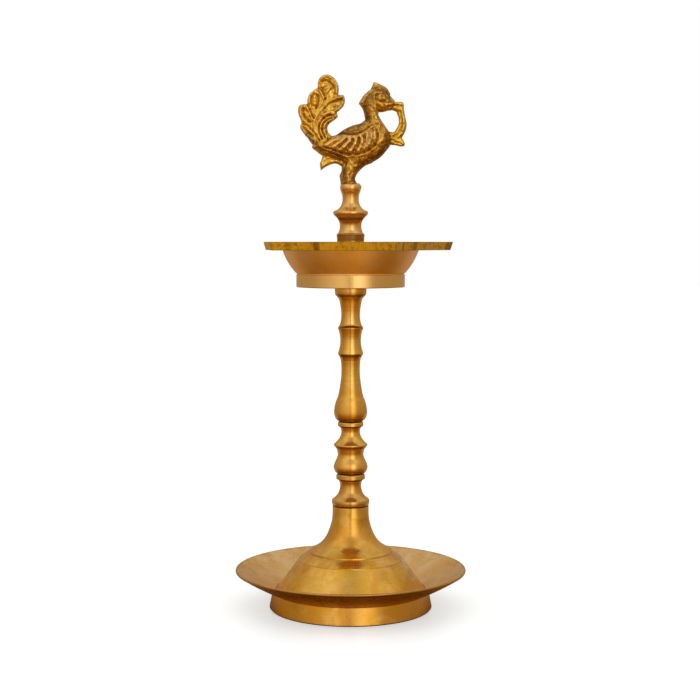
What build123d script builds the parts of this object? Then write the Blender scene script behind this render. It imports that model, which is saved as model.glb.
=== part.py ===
"""A standing brass oil lamp (samai): dished base with a bell, three turned stem pieces, a five-beaked oil pan
and a bird finial, screwed together on threaded studs.

Millimetres. +Z is up, the origin is the centre of the foot's resting face, and the bird looks along +X.
Every turned outline is drawn as (radius, height) on the XZ plane and revolved about Z.
"""

import os
from math import cos, radians, sin

from build123d import *

os.makedirs("parts", exist_ok=True)

# ---- driving dimensions ---------------------------------------------------------------------------------
# heights of the faces where one piece seats on the next
BELL_TOP = 59.3
LOWER_STEM_TOP = 77.8
MIDDLE_STEM_TOP = 108.0
UPPER_STEM_TOP = 186.4
SPINDLE_BOTTOM = 203.6
SPINDLE_TOP = 239.5

# threads, as metric coarse sizes: (major radius, pitch)
M8 = (4.0, 1.25)
M6 = (3.0, 1.0)
M5 = (2.5, 0.8)
THREAD_CLEARANCE = 0.05
THREAD_DEPTH_PER_PITCH = 0.61
GROOVE_HALF_WIDTH_PER_PITCH = 0.42
STUD_CHAMFER = 0.6
STUD_END_GAP = 0.5

# how far each stud reaches into the piece below it and into the piece above it
BASE_STUD_REACH = (10.0, 9.0)
LOWER_STUD_REACH = (7.5, 8.0)
UPPER_STUD_REACH = (8.0, 8.0)
PAN_STUD_REACH = (10.0, 6.5)
SPINDLE_STUD_REACH = (6.5, 10.0)
BIRD_STUD_REACH = (6.5, 4.4)

# base
FOOT_RADIUS = 46.8
FOOT_TOP_RADIUS = 45.0
FOOT_WALL = 3.2
PLATE_RADIUS = 66.3
PLATE_RIM_HEIGHT = 22.8
PLATE_RIM_THICKNESS = 1.5
PLATE_SEAT_INNER = 38.5
PLATE_SEAT_RADIUS = 43.1
PLATE_SEAT_HEIGHT = 10.6
PLATE_SEAT_LIP = 11.1
UNDERSIDE_START = 6.5
UNDERSIDE_SLOPE = 0.5387
BELL_WALL = 3.1
BELL_HOLLOW_TOP = 45.0

# oil pan
PAN_FOOT_BOTTOM = 184.7
PAN_FOOT_RADIUS = 30.9
PAN_FLOOR_UNDERSIDE = 192.0
PAN_FLOOR_TOP = 194.0
PAN_BOSS_RADIUS = 8.6
PAN_BOWL_TOP_RADIUS = 38.75
FLANGE_UNDERSIDE = 205.7
FLANGE_TOP = 210.4
BEAK_RADIUS = 59.6
NOTCH_RADIUS = 47.3
BEAK_COUNT = 5
FIRST_BEAK_ANGLE = 6.0
FLANGE_DRAFT_SCALE = 0.974
# the notch between two beaks sits halfway, except the front one, which was filed off centre
NOTCH_OFFSETS = [36.0, 36.0, 36.0, 44.0, 36.0]


def save(part, name):
    """Label a finished piece and write its STEP file."""
    part.label = name
    export_step(part, f"parts/{name}.step")


def plate_underside(radius):
    """Height of the drip plate's conical underside near the foot."""
    return UNDERSIDE_START + (radius - PLATE_SEAT_INNER) * UNDERSIDE_SLOPE


def stud_groove_heights(bottom, top, pitch):
    """Heights of the thread roots between a stud's two chamfered ends."""
    count = int((top - bottom - 2 * STUD_CHAMFER) / pitch)
    start = (bottom + top) / 2 - (count - 1) * pitch / 2
    return [start + i * pitch for i in range(count)]


def make_stud(thread, bottom, top):
    """A double-ended threaded stud. The thread is drawn as rings at the real pitch."""
    major, pitch = thread
    root = major - THREAD_DEPTH_PER_PITCH * pitch
    half_groove = GROOVE_HALF_WIDTH_PER_PITCH * pitch
    with BuildPart() as stud:
        with BuildSketch(Plane.XZ):
            with BuildLine():
                outline = [(0, bottom), (major - STUD_CHAMFER, bottom), (major, bottom + STUD_CHAMFER)]
                for z in stud_groove_heights(bottom, top, pitch):
                    outline += [(major, z - half_groove), (root, z), (major, z + half_groove)]
                outline += [(major, top - STUD_CHAMFER), (major - STUD_CHAMFER, top), (0, top)]
                Polyline(*outline, close=True)
            make_face()
        revolve(axis=Axis.Z)
    return stud.part


def drill(thread, start, depth, up):
    """Cut a tapped hole, drawn plain at the thread's major radius, into the part being built."""
    with BuildSketch(Plane.XY.offset(start)) as hole:
        Circle(thread[0] + THREAD_CLEARANCE)
    extrude(hole.sketch, amount=depth if up else -depth, mode=Mode.SUBTRACT)


# ---- base: foot ring, drip plate and bell, brazed together ----------------------------------------------
with BuildPart() as foot_ring:
    ring_inner_top = FOOT_TOP_RADIUS - FOOT_WALL
    with BuildSketch(Plane.XZ):
        with BuildLine():
            Polyline(
                (FOOT_RADIUS - FOOT_WALL, 0),
                (FOOT_RADIUS - 0.6, 0),
                (FOOT_RADIUS, 0.7),
                (FOOT_TOP_RADIUS, plate_underside(FOOT_TOP_RADIUS)),
                (ring_inner_top, plate_underside(ring_inner_top)),
                close=True,
            )
        make_face()
    revolve(axis=Axis.Z)
save(foot_ring.part, "foot_ring")

with BuildPart() as drip_plate:
    rim_under = PLATE_RIM_HEIGHT - PLATE_RIM_THICKNESS
    flat_under_radius = 46.0
    with BuildSketch(Plane.XZ):
        with BuildLine():
            Line((PLATE_SEAT_INNER, UNDERSIDE_START), (flat_under_radius, plate_underside(flat_under_radius)))
            ThreePointArc(
                (flat_under_radius, plate_underside(flat_under_radius)),
                (56.5, 15.75),
                (PLATE_RADIUS - 0.5, rim_under),
            )
            ThreePointArc(
                (PLATE_RADIUS - 0.5, rim_under),
                (PLATE_RADIUS, rim_under + 0.8),
                (PLATE_RADIUS - 0.7, PLATE_RIM_HEIGHT),
            )
            ThreePointArc(
                (PLATE_RADIUS - 0.7, PLATE_RIM_HEIGHT), (54.6, 16.75), (PLATE_SEAT_RADIUS, PLATE_SEAT_LIP)
            )
            Polyline(
                (PLATE_SEAT_RADIUS, PLATE_SEAT_LIP),
                (PLATE_SEAT_RADIUS, PLATE_SEAT_HEIGHT),
                (PLATE_SEAT_INNER, PLATE_SEAT_HEIGHT),
                (PLATE_SEAT_INNER, UNDERSIDE_START),
            )
        make_face()
    revolve(axis=Axis.Z)
save(drip_plate.part, "drip_plate")

with BuildPart() as base_bell:
    skirt_radius = PLATE_SEAT_RADIUS - 0.05
    with BuildSketch(Plane.XZ):
        with BuildLine():
            Polyline((skirt_radius - BELL_WALL, PLATE_SEAT_HEIGHT), (skirt_radius, PLATE_SEAT_HEIGHT))
            Line((skirt_radius, PLATE_SEAT_HEIGHT), (30.0, 27.9))
            ThreePointArc((30.0, 27.9), (30.0, 28.35), (29.5, 28.55))
            ThreePointArc((29.5, 28.55), (26.8, 30.6), (24.2, 32.1))
            Polyline((24.2, 32.1), (24.1, 33.0), (23.7, 33.3))
            Spline(
                (23.7, 33.3),
                (17.6, 37.0),
                (13.75, 42.0),
                (11.3, 48.6),
                (10.4, BELL_TOP - 0.3),
                tangents=[(-1, 0.5), (0, 1)],
            )
            Polyline((10.4, BELL_TOP - 0.3), (10.1, BELL_TOP), (0, BELL_TOP), (0, BELL_HOLLOW_TOP))
            # the hollow inside: a dome under the tapped boss, then a cone down to the skirt
            ThreePointArc((0, BELL_HOLLOW_TOP), (6.4, BELL_HOLLOW_TOP - 1.8), (9.6, 38.5))
            ThreePointArc((9.6, 38.5), (14.5, 33.4), (21.0, 29.6))
            Polyline((21.0, 29.6), (27.2, 26.0), (skirt_radius - BELL_WALL, PLATE_SEAT_HEIGHT))
        make_face()
    revolve(axis=Axis.Z)
    drill(M8, BELL_TOP, BASE_STUD_REACH[0] + STUD_END_GAP, up=False)
save(base_bell.part, "base_bell")

# ---- stem -----------------------------------------------------------------------------------------------
with BuildPart() as lower_stem:
    with BuildSketch(Plane.XZ):
        with BuildLine():
            Polyline((0, BELL_TOP), (10.1, BELL_TOP), (10.4, BELL_TOP + 0.3))
            ThreePointArc((10.4, BELL_TOP + 0.3), (10.75, 61.0), (10.7, 62.6))
            Spline(
                (10.7, 62.6), (8.1, 64.9), (6.1, 69.7), (6.45, 73.0), (7.4, 74.3),
                tangents=[(-1, 0.9), (1, 0.8)],
            )
            Polyline((7.4, 74.3), (8.0, 74.5), (8.3, 74.9), (8.2, 76.8), (7.9, 77.3))
            Polyline((7.9, 77.3), (7.5, LOWER_STEM_TOP), (0, LOWER_STEM_TOP), (0, BELL_TOP))
        make_face()
    revolve(axis=Axis.Z)
    drill(M8, BELL_TOP, BASE_STUD_REACH[1] + STUD_END_GAP, up=True)
    drill(M6, LOWER_STEM_TOP, LOWER_STUD_REACH[0] + STUD_END_GAP, up=False)
save(lower_stem.part, "lower_stem")

with BuildPart() as middle_stem:
    with BuildSketch(Plane.XZ):
        with BuildLine():
            Polyline((0, LOWER_STEM_TOP), (7.8, LOWER_STEM_TOP))
            # the pear-shaped bulb, then the waist under the sharp ridge
            Spline(
                (7.8, LOWER_STEM_TOP), (9.75, 81.2), (8.3, 85.8), (7.4, 88.9), (7.85, 91.3), (9.1, 93.3),
                tangents=[(0.75, 0.6), (0.85, 1)],
            )
            Polyline((9.1, 93.3), (9.75, 94.1), (9.6, 94.7))
            Spline(
                (9.6, 94.7), (6.6, 98.0), (5.35, 101.4), (5.6, 103.4), (6.5, 104.9),
                tangents=[(-1, 0.8), (1, 0.7)],
            )
            Polyline((6.5, 104.9), (7.1, 105.0), (7.35, 105.4), (7.3, 107.0), (7.0, 107.5))
            Polyline((7.0, 107.5), (6.5, MIDDLE_STEM_TOP), (0, MIDDLE_STEM_TOP), (0, LOWER_STEM_TOP))
        make_face()
    revolve(axis=Axis.Z)
    drill(M6, LOWER_STEM_TOP, LOWER_STUD_REACH[1] + STUD_END_GAP, up=True)
    drill(M6, MIDDLE_STEM_TOP, UPPER_STUD_REACH[0] + STUD_END_GAP, up=False)
save(middle_stem.part, "middle_stem")

with BuildPart() as upper_stem:
    with BuildSketch(Plane.XZ):
        with BuildLine():
            Polyline((0, MIDDLE_STEM_TOP), (6.9, MIDDLE_STEM_TOP))
            # the long vase, then the flare up to the first ridge
            Spline(
                (6.9, MIDDLE_STEM_TOP), (9.5, 113.2), (8.05, 120.3), (5.7, 131.0),
                tangents=[(1, 0.55), (-0.14, 1)],
            )
            ThreePointArc((5.7, 131.0), (5.27, 136.9), (5.6, 142.7))
            ThreePointArc((5.6, 142.7), (6.1, 144.5), (6.98, 146.1))
            Polyline((6.98, 146.1), (7.25, 146.8), (7.0, 147.7))
            ThreePointArc((7.0, 147.7), (5.88, 154.3), (6.9, 160.3))
            Polyline((6.9, 160.3), (7.25, 161.1), (7.1, 161.8))
            Spline(
                (7.1, 161.8), (5.75, 164.8), (5.35, 169.6), (6.1, 175.6), (8.7, 180.2),
                tangents=[(-1, 1.1), (1, 0.9)],
            )
            ThreePointArc((8.7, 180.2), (9.0, 181.9), (9.05, 184.0))
            Polyline((9.05, 184.0), (9.05, UPPER_STEM_TOP - 0.4), (8.65, UPPER_STEM_TOP))
            Polyline((8.65, UPPER_STEM_TOP), (0, UPPER_STEM_TOP), (0, MIDDLE_STEM_TOP))
        make_face()
    revolve(axis=Axis.Z)
    drill(M6, MIDDLE_STEM_TOP, UPPER_STUD_REACH[1] + STUD_END_GAP, up=True)
    drill(M8, UPPER_STEM_TOP, PAN_STUD_REACH[0] + STUD_END_GAP, up=False)
save(upper_stem.part, "upper_stem")


# ---- oil pan --------------------------------------------------------------------------------------------
def polar(radius, degrees):
    return (radius * cos(radians(degrees)), radius * sin(radians(degrees)))


def flange_outline(scale):
    """One closed ring of ogee curves: convex out of each notch, then hollow up to the beak."""
    notches = [FIRST_BEAK_ANGLE + 360 / BEAK_COUNT * i + NOTCH_OFFSETS[i] for i in range(BEAK_COUNT)]
    for i in range(BEAK_COUNT):
        beak = FIRST_BEAK_ANGLE + 360 / BEAK_COUNT * i
        for side, notch in ((-1, notches[i - 1] - (360 if i == 0 else 0)), (1, notches[i])):
            span = abs(notch - beak)
            start = polar(scale * NOTCH_RADIUS, notch)
            belly = polar(scale * (NOTCH_RADIUS + 0.9), notch - side * 0.28 * span)
            flank = polar(scale * (NOTCH_RADIUS + 2.4), notch - side * 0.56 * span)
            hollow = polar(scale * (NOTCH_RADIUS + 5.9), notch - side * 0.79 * span)
            tip = polar(scale * BEAK_RADIUS, beak)
            ThreePointArc(start, belly, flank)
            ThreePointArc(flank, hollow, tip)


with BuildPart() as oil_pan:
    for height, scale in ((FLANGE_UNDERSIDE, FLANGE_DRAFT_SCALE), (FLANGE_TOP, 1.0)):
        with BuildSketch(Plane.XY.offset(height)) as outline:
            with BuildLine():
                flange_outline(scale)
            make_face()
            beaks = outline.vertices().filter_by(
                lambda v: (v.X**2 + v.Y**2) ** 0.5 > scale * (BEAK_RADIUS - 1.0)
            )
            fillet(beaks, 1.2)
    loft(ruled=True)
    # the bowl's outside, with the turned foot it stands on
    with BuildSketch(Plane.XZ):
        with BuildLine():
            Polyline((0, FLANGE_UNDERSIDE + 1), (PAN_BOWL_TOP_RADIUS + 0.7, FLANGE_UNDERSIDE + 1))
            Line((PAN_BOWL_TOP_RADIUS + 0.7, FLANGE_UNDERSIDE + 1), (PAN_BOWL_TOP_RADIUS, FLANGE_UNDERSIDE))
            ThreePointArc((PAN_BOWL_TOP_RADIUS, FLANGE_UNDERSIDE), (35.85, 199.25), (31.3, 192.9))
            Polyline(
                (31.3, 192.9),
                (30.6, 192.5),
                (30.6, 192.1),
                (PAN_FOOT_RADIUS, 191.8),
                (PAN_FOOT_RADIUS, PAN_FOOT_BOTTOM + 0.4),
                (PAN_FOOT_RADIUS - 0.4, PAN_FOOT_BOTTOM),
                (0, PAN_FOOT_BOTTOM),
                (0, FLANGE_UNDERSIDE + 1),
            )
        make_face()
    revolve(axis=Axis.Z)
    # the recess under the floor, inside the foot, round the boss that seats on the stem
    with BuildSketch(Plane.XZ):
        with BuildLine():
            Polyline((0, PAN_FOOT_BOTTOM - 1), (28.2, PAN_FOOT_BOTTOM - 1), (27.8, 190.8))
            ThreePointArc((27.8, 190.8), (27.4, 191.6), (26.6, PAN_FLOOR_UNDERSIDE))
            Polyline((26.6, PAN_FLOOR_UNDERSIDE), (PAN_BOSS_RADIUS + 1, PAN_FLOOR_UNDERSIDE))
            Polyline(
                (PAN_BOSS_RADIUS + 1, PAN_FLOOR_UNDERSIDE),
                (PAN_BOSS_RADIUS, PAN_FLOOR_UNDERSIDE - 1),
                (PAN_BOSS_RADIUS, UPPER_STEM_TOP),
                (0, UPPER_STEM_TOP),
                (0, PAN_FOOT_BOTTOM - 1),
            )
        make_face()
    revolve(axis=Axis.Z, mode=Mode.SUBTRACT)
    # the oil well, round the boss that the spindle seats on
    with BuildSketch(Plane.XZ):
        with BuildLine():
            Polyline((0, FLANGE_TOP + 1), (36.9, FLANGE_TOP + 1), (36.5, FLANGE_TOP - 0.2))
            Spline(
                (36.5, FLANGE_TOP - 0.2), (35.7, 204.0), (32.2, 197.4), (26.5, PAN_FLOOR_TOP),
                tangents=[(-0.05, -1), (-1, -0.12)],
            )
            Polyline((26.5, PAN_FLOOR_TOP), (PAN_BOSS_RADIUS + 1.5, PAN_FLOOR_TOP))
            Polyline(
                (PAN_BOSS_RADIUS + 1.5, PAN_FLOOR_TOP),
                (PAN_BOSS_RADIUS, PAN_FLOOR_TOP + 1.5),
                (PAN_BOSS_RADIUS, SPINDLE_BOTTOM - 0.4),
                (PAN_BOSS_RADIUS - 0.4, SPINDLE_BOTTOM),
                (0, SPINDLE_BOTTOM),
                (0, FLANGE_TOP + 1),
            )
        make_face()
    revolve(axis=Axis.Z, mode=Mode.SUBTRACT)
    drill(M8, UPPER_STEM_TOP, PAN_STUD_REACH[1] + STUD_END_GAP, up=True)
    drill(M8, SPINDLE_BOTTOM, SPINDLE_STUD_REACH[0] + STUD_END_GAP, up=False)
save(oil_pan.part, "oil_pan")

# ---- spindle --------------------------------------------------------------------------------------------
with BuildPart() as spindle:
    with BuildSketch(Plane.XZ):
        with BuildLine():
            Polyline((0, SPINDLE_BOTTOM), (7.35, SPINDLE_BOTTOM), (7.65, SPINDLE_BOTTOM + 0.3), (7.65, 211.0))
            Polyline((7.65, 211.0), (7.95, 214.3), (7.6, 215.0), (7.15, 215.3))
            Spline(
                (7.15, 215.3), (6.08, 218.9), (6.7, 222.2), (9.5, 225.6),
                tangents=[(-0.5, 1), (1, 0.85)],
            )
            ThreePointArc((9.5, 225.6), (9.9, 226.7), (9.5, 227.8))
            Spline(
                (9.5, 227.8), (6.4, 229.6), (4.6, 234.6), (5.0, 237.6), (5.7, SPINDLE_TOP - 0.2),
                tangents=[(-1, 0.3), (0.35, 1)],
            )
            Polyline((5.7, SPINDLE_TOP - 0.2), (5.5, SPINDLE_TOP), (0, SPINDLE_TOP), (0, SPINDLE_BOTTOM))
        make_face()
    revolve(axis=Axis.Z)
    drill(M8, SPINDLE_BOTTOM, SPINDLE_STUD_REACH[1] + STUD_END_GAP, up=True)
    drill(M5, SPINDLE_TOP, BIRD_STUD_REACH[0] + STUD_END_GAP, up=False)
save(spindle.part, "spindle")

# ---- studs ----------------------------------------------------------------------------------------------
STUDS = [
    ("base_stud", M8, BELL_TOP, BASE_STUD_REACH),
    ("lower_joint_stud", M6, LOWER_STEM_TOP, LOWER_STUD_REACH),
    ("upper_joint_stud", M6, MIDDLE_STEM_TOP, UPPER_STUD_REACH),
    ("pan_stud", M8, UPPER_STEM_TOP, PAN_STUD_REACH),
    ("spindle_stud", M8, SPINDLE_BOTTOM, SPINDLE_STUD_REACH),
    ("bird_stud", M5, SPINDLE_TOP, BIRD_STUD_REACH),
]
for stud_name, stud_thread, seat, (below, above) in STUDS:
    save(make_stud(stud_thread, seat - below, seat + above), stud_name)


# ---- bird finial, one casting ---------------------------------------------------------------------------
# torso sections across X: (x, bottom, top, half thickness)
TORSO = [
    (-17.0, 260.3, 265.0, 2.2),
    (-10.0, 256.0, 270.4, 4.4),
    (-3.0, 253.6, 274.2, 6.0),
    (4.0, 252.9, 276.8, 7.0),
    (11.0, 254.9, 277.8, 7.3),
    (17.0, 259.3, 277.0, 6.2),
    (21.0, 263.6, 273.6, 4.0),
]
# leg sections across Z: (z, centre x, half width, half thickness)
LEG = [(243.0, -0.5, 5.2, 5.2), (246.0, -1.5, 4.5, 4.6), (249.5, -1.1, 4.9, 4.8), (256.0, 3.2, 8.0, 5.6)]
# neck sections across Z
NECK = [(272.0, 12.0, 8.6, 5.8), (276.5, 13.0, 6.2, 5.0), (281.0, 12.6, 4.8, 4.2), (288.0, 13.4, 5.4, 4.4)]
# beak sections: (x, z, half height, half thickness)
BEAK = [(21.0, 290.6, 2.9, 2.6), (25.5, 288.2, 2.1, 1.9), (29.2, 287.4, 1.5, 1.3)]
TAIL_THICKNESS = 5.6
FEATHER_THICKNESS = 3.6
CREST_THICKNESS = 3.0


def arcs(start, steps):
    """A chain of arcs from start, each given as (a point on it, its end)."""
    for via, end in steps:
        ThreePointArc(start, via, end)
        start = end
    return start


with BuildPart() as bird:
    for x, low, high, half in TORSO:
        with BuildSketch(Plane.YZ.offset(x)):
            with Locations((0, (low + high) / 2)):
                Ellipse(half, (high - low) / 2)
    loft()
    for z, x, half_x, half_y in LEG:
        with BuildSketch(Plane.XY.offset(z)):
            with Locations((x, 0)):
                Ellipse(half_x, half_y)
    loft()
    for z, x, half_x, half_y in NECK:
        with BuildSketch(Plane.XY.offset(z)):
            with Locations((x, 0)):
                Ellipse(half_x, half_y)
    loft()
    # head
    with BuildSketch(Plane.XZ):
        with Locations((17.0, 291.0)):
            Ellipse(6.0, 5.3)
            Rectangle(13, 12, align=(Align.CENTER, Align.MAX), mode=Mode.SUBTRACT)
    revolve(axis=Axis((17.0, 0, 291.0), (1, 0, 0)))
    for x, z, half_z, half_y in BEAK:
        with BuildSketch(Plane.YZ.offset(x)):
            with Locations((0, z)):
                Ellipse(half_y, half_z)
    loft()
    # crest and the ridge down the back of the neck
    with BuildSketch(Plane.XZ):
        with BuildLine():
            end = arcs((4.7, 288.5), [((7.4, 293.2), (11.9, 296.8))])
            Line(end, (12.9, 300.7))
            end = arcs((12.9, 300.7), [((18.6, 298.7), (22.2, 294.4))])
            Polyline(end, (17.0, 290.0), (10.0, 284.5), (8.0, 284.5), (4.7, 288.5))
        make_face()
    extrude(amount=CREST_THICKNESS / 2, both=True)
    # tail: a spray of leaves under a round scroll
    with BuildSketch(Plane.XZ):
        with BuildLine():
            end = arcs(
                (-15.1, 259.0),
                [
                    ((-18.9, 262.3), (-22.1, 266.6)),
                    ((-25.8, 270.2), (-28.2, 274.5)),
                    ((-28.5, 276.4), (-27.7, 277.9)),
                    ((-29.7, 283.2), (-28.4, 287.8)),
                    ((-26.4, 288.8), (-24.4, 288.4)),
                    ((-23.1, 293.2), (-18.6, 297.6)),
                    ((-13.3, 304.8), (-6.9, 293.6)),
                    ((-5.1, 293.0), (-3.4, 292.9)),
                    ((-3.9, 287.6), (-8.0, 283.2)),
                    ((-7.2, 282.2), (-6.9, 280.8)),
                    ((-10.2, 278.3), (-12.7, 275.2)),
                    ((-12.6, 272.2), (-9.6, 270.2)),
                ],
            )
            Polyline(end, (-5.0, 266.0), (-8.0, 259.0), (-15.1, 259.0))
        make_face()
    extrude(amount=TAIL_THICKNESS / 2, both=True)
    # the short feather under the tail
    with BuildSketch(Plane.XZ):
        with BuildLine():
            end = arcs((-4.0, 254.0), [((-10.0, 254.9), (-16.7, 251.2)), ((-17.2, 255.3), (-14.6, 259.6))])
            Polyline(end, (-4.0, 260.0), (-4.0, 254.0))
        make_face()
    extrude(amount=FEATHER_THICKNESS / 2, both=True)
    # the garland held in the beak, with a forked end resting on the breast
    with BuildLine() as garland_path:
        ThreePointArc((28.4, 0, 287.2), (29.9, 0, 277.6), (25.0, 0, 268.6))
    with BuildSketch(Plane(origin=(28.4, 0, 287.2), z_dir=garland_path.wires()[0] % 0)):
        Circle(1.7)
    sweep(path=garland_path.wires()[0])
    with BuildSketch(Plane.XZ):
        with BuildLine():
            Polyline((20.0, 271.4), (24.6, 271.0), (28.6, 269.4))
            end = arcs((28.6, 269.4), [((29.4, 267.8), (30.9, 266.6)), ((31.0, 265.0), (29.6, 264.7))])
            end = arcs(end, [((25.8, 265.1), (20.6, 266.9))])
            Line(end, (20.0, 271.4))
        make_face()
    extrude(amount=1.6, both=True)
    # the turned collar that the casting was chucked by
    with BuildSketch(Plane.XZ):
        with BuildLine():
            Polyline(
                (0, SPINDLE_TOP), (5.6, SPINDLE_TOP), (5.9, 240.0), (5.9, 242.2), (5.0, 244.0), (0, 244.0),
                close=True,
            )
        make_face()
    revolve(axis=Axis.Z)
    drill(M5, SPINDLE_TOP, BIRD_STUD_REACH[1] + STUD_END_GAP, up=True)
save(bird.part, "bird")
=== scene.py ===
"""Looks for the brass standing oil lamp (samai): turned brass, a rough-cast bird finial, a plain studio."""

from math import cos, pi, radians, sin, tau

import bpy
import numpy as np
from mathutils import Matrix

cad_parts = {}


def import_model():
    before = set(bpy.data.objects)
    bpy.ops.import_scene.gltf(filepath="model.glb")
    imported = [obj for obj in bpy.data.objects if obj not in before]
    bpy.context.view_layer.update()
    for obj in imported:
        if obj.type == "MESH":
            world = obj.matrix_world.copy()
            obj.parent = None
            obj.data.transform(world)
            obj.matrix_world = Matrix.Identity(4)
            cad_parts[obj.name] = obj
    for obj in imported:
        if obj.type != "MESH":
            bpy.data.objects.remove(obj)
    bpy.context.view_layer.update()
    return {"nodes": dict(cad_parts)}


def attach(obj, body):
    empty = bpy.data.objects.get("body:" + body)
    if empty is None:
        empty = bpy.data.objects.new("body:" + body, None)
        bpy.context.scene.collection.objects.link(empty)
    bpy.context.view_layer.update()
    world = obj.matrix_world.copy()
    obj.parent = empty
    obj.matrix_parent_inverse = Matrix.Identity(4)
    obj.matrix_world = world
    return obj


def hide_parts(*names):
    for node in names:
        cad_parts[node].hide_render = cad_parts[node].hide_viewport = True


MM = 0.001

# ---- camera and studio ----------------------------------------------------------------------------------
CAMERA_RIGHT = -0.00035
CAMERA_DISTANCE = 0.838757
CAMERA_HEIGHT = 0.209745
CAMERA_PITCH = radians(4.160)
LENS_MM = 75.66
SENSOR_MM = 36.0
BACKDROP_LIGHT = 1.0
FLOOR_RADIUS = 6.0
FLOOR_DROP = 0.0001
FLOOR_WHITE = (0.82, 0.89, 0.94)
FLOOR_GLOW = 0.52
SHADOW_RADIUS = 0.1
SHADOW_BROWN = (0.55, 0.235, 0.014)
DISC_SIDES = 48

# the studio's brightness round the horizon: (azimuth from straight in front, + is to the right; level)
STUDIO = [
    (-180, 0.44), (-110, 0.45), (-80, 0.50), (-45, 0.74), (-18, 0.95), (-8, 0.95), (-2, 0.50), (3, 0.60),
    (8, 1.60), (20, 1.45), (34, 1.05), (46, 0.52), (80, 0.46), (120, 0.44), (180, 0.44),
]
# the same for directions well above the horizon
CEILING = [
    (-180, 0.52), (-110, 0.58), (-50, 0.78), (-25, 0.62), (0, 0.47), (25, 0.58), (50, 0.76), (110, 0.58),
    (180, 0.52),
]
# the studio's colour from straight down to straight up: (height of the direction, colour)
HEIGHTS = [
    (-1.0, (0.38, 0.20, 0.04)), (-0.60, (0.40, 0.23, 0.05)), (-0.30, (0.54, 0.38, 0.17)),
    (-0.10, (0.76, 0.74, 0.70)), (0.10, (0.80, 0.80, 0.80)), (0.50, (1.0, 1.0, 1.0)),
    (1.0, (0.95, 0.95, 0.95)),
]
HEIGHT_GAIN = 1.25
ROOM_LIGHT = 0.80
# how much green and blue the dimmest parts of the studio lose
GREEN_LOSS = 0.28
BLUE_LOSS = 0.62
# where directions turn from STUDIO to CEILING, by their height
CEILING_BLEND = (0.50, 0.66)
# the far side of the table: its colour, its lower and upper limits by height, and how far back it starts
TABLE_BEHIND = (0.26, 0.19, 0.155)
TABLE_BOTTOM = (-0.75, -0.45)
TABLE_TOP = (-0.08, -0.20)
TABLE_BACK = (0.15, 0.60)

# ---- brass ----------------------------------------------------------------------------------------------
BRASS = (0.83, 0.50, 0.115)
BRASS_DEEP = (0.70, 0.33, 0.02)
BRASS_OLIVE = (0.46, 0.25, 0.03)
BRASS_LIGHT = (0.94, 0.66, 0.24)
BRASS_YELLOW = (0.92, 0.62, 0.09)
BRASS_WAN = (0.86, 0.62, 0.33)
BRASS_PALE = (0.86, 0.54, 0.19)
BRASS_PINK = (0.80, 0.50, 0.34)
PATINA = (0.085, 0.040, 0.012)
# the colour of dark lines at seams, and of painted shade in creases
SEAM_DARK_AND_CREASE_SHADE = (0.13, 0.042, 0.006)
# brown of a worn dish rim, and of painted shade at the spindle's foot
BROWN_WEAR_AND_SHADE = (0.42, 0.19, 0.035)
RIM_FRECKLE = (0.60, 0.34, 0.11)
LOWER_STEM_BRASS = (0.72, 0.42, 0.10)
# pinkish-white of dried polish and of a painted highlight on the bell's right-hand edge
RESIDUE_AND_HIGHLIGHT = (0.80, 0.62, 0.52)

# the cast bird: its two golds, what is yellower, what is rubbed, and the dark of its patina and of painted
# shade
CAST_GOLD = (0.65, 0.375, 0.06)
CAST_BRONZE = (0.41, 0.21, 0.024)
CAST_TAIL = (0.80, 0.49, 0.075)
CAST_STRAND = (0.70, 0.43, 0.04)
CAST_WING = (0.62, 0.36, 0.16)
CAST_RUBBED = (0.96, 0.68, 0.22)
CAST_PATINA_AND_SHADE = (0.25, 0.11, 0.030)

# the oil pan: its bowl, the top of its flange, its well and the filed side of its flange
BOWL_PINK = (1.0, 0.69, 0.34)
BOWL_GOLD = (0.95, 0.58, 0.15)
TOP_LIGHT = (0.74, 0.46, 0.12)
TOP_DARK = (0.60, 0.34, 0.07)
WELL_LIGHT = (0.68, 0.40, 0.11)
WELL_DARK = (0.54, 0.30, 0.07)
FILED_OLIVE = (0.76, 0.47, 0.02)
FILED_YELLOW = (0.98, 0.68, 0.07)
FILED_PATCH = (0.34, 0.16, 0.006)
FILED_CUT = (0.26, 0.12, 0.006)
FILED_CORNER = (0.16, 0.065, 0.006)

# ---- where the looks change -----------------------------------------------------------------------------
# heights in millimetres of dark lines: at the seams between pieces, and painted shade in turned creases
SEAMS = {
    "base_bell": [59.3], "lower_stem": [59.3, 74.3, 77.8], "middle_stem": [77.9, 104.9, 108.0],
    "upper_stem": [108.1],
}
# the dark lines at these creases are painted shade
CREASES = {
    "middle_stem": [79.0, 93.2], "upper_stem": [109.2, 145.6, 161.9, 180.0], "spindle": [214.4, 223.4],
}
# the rest is in metres, and a pair is where a look starts and where it is complete
DISH_RIM_RADIUS = 0.0660
SPINDLE_COLLAR_TOP = 0.2139
RESIDUE_AND_HIGHLIGHT_BOTTOM = (0.0155, 0.019)
RESIDUE_AND_HIGHLIGHT_TOP = (0.031, 0.0275)
BIRD_TAIL = (-0.004, -0.014)
BIRD_STRAND = (0.020, 0.024)
PAN_FOOT = (0.1920, 0.1916)
WELL_FLOOR = (0.1932, 0.1936)
WELL_WALL = (0.0372, 0.0366)
BOWL_OUTSIDE = (0.0405, 0.0415)
FLANGE_UNDERSIDE = (0.2054, 0.2057)
FLANGE_MIDDLE = 0.20805
FLANGE_CREST = (0.2100, 0.2102)
FLANGE_SIDE_TOP = (0.21037, 0.21032)


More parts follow.
